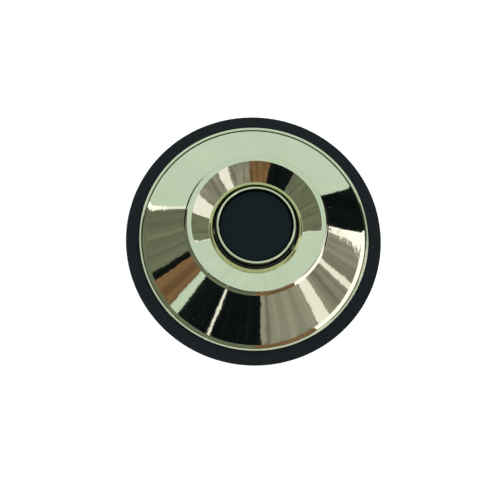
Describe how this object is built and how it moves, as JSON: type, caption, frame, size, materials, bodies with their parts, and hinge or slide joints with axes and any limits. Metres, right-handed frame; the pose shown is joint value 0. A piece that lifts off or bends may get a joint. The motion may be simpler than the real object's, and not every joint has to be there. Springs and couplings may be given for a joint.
{
  "type": "saxophone practice mute",
  "caption": "Saxophone practice mute: a plated cone-shaped cover with a funnel and a sliding throat sleeve, on a black bowl with a foam ring that grips the bell.",
  "frame": {"origin": "on the mute's axis, in the plane of the rear pad's face that it stands on", "axes": "+Z along the axis, from the rear towards the plated front; the section is the same round Z apart from the screws and holes"},
  "size_m": [0.1112, 0.1112, 0.0646],
  "materials": {
    "pale_gold_plating": "ABS plated to a mirror in pale champagne gold",
    "black_moulding": "black moulded ABS, fine matt",
    "black_foam": "closed-cell EVA foam, skinned at its edges",
    "plug_foam": "fine black foam",
    "absorber_foam": "open-cell sound-absorbing foam",
    "black_rubber": "soft black elastomer",
    "adhesive_tape": "double-sided foam adhesive tape",
    "zinc_steel": "zinc-plated steel"
  },
  "bodies": {
    "housing": {"front_cover": "pale_gold_plating", "rear_bowl": "black_moulding", "throat_bush": "black_rubber", "bell_seal": "black_foam", "seal_bond_tape": "adhesive_tape", "seam_gasket": "black_rubber", "front_absorber": "absorber_foam", "rear_absorber": "absorber_foam", "rear_grille": "black_moulding", "rear_pad": "black_rubber", "shell_screw_1": "zinc_steel", "shell_screw_2": "zinc_steel", "shell_screw_3": "zinc_steel", "shell_screw_4": "zinc_steel", "shell_screw_5": "zinc_steel", "shell_screw_6": "zinc_steel", "grille_screw_1": "zinc_steel", "grille_screw_2": "zinc_steel", "grille_screw_3": "zinc_steel", "grille_screw_4": "zinc_steel"},
    "throat_insert": {"throat_sleeve": "pale_gold_plating", "throat_plug": "plug_foam", "plug_grille": "black_moulding"}
  },
  "joints": [
    {"name": "throat_slide", "type": "slide", "parent": "housing", "child": "throat_insert", "axis": [0, 0, 1], "range_m": [0, 0.015]}
  ]
}
